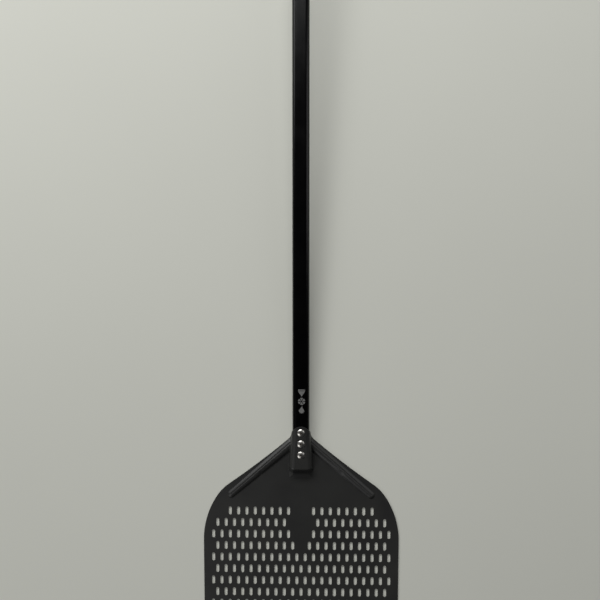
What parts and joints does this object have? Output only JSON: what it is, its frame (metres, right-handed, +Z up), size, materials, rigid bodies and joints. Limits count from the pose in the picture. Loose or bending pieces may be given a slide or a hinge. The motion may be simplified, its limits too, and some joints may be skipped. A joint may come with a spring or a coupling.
{
  "type": "pizza peel",
  "caption": "Slotted sheet-metal pizza peel with pressed stiffening beads, riveted to a straight flat-oval tube handle with a hanging eye.",
  "frame": {"origin": "on the blade's flat underside, on the centreline, at the middle of the area that carries the pizza", "axes": "+X across the blade, +Y from the blade towards the handle's far end, +Z up from the table to the food side"},
  "size_m": [0.35, 1.2832, 0.0725],
  "materials": {
    "blade_anodised": "hard anodised dark grey, satin",
    "tube_black": "black anodised, semi-gloss",
    "rivet_aluminium": "bright, lightly tumbled",
    "mandrel_steel": "broken end, dull",
    "cap_plastic": "moulded, fine matt texture"
  },
  "bodies": {
    "root": {"blade": "blade_anodised", "handle_tube": "tube_black", "rivet_body_1": "rivet_aluminium", "rivet_body_2": "rivet_aluminium", "rivet_body_3": "rivet_aluminium", "rivet_mandrel_1": "mandrel_steel", "rivet_mandrel_2": "mandrel_steel", "rivet_mandrel_3": "mandrel_steel", "end_cap": "cap_plastic"}
  },
  "joints": []
}
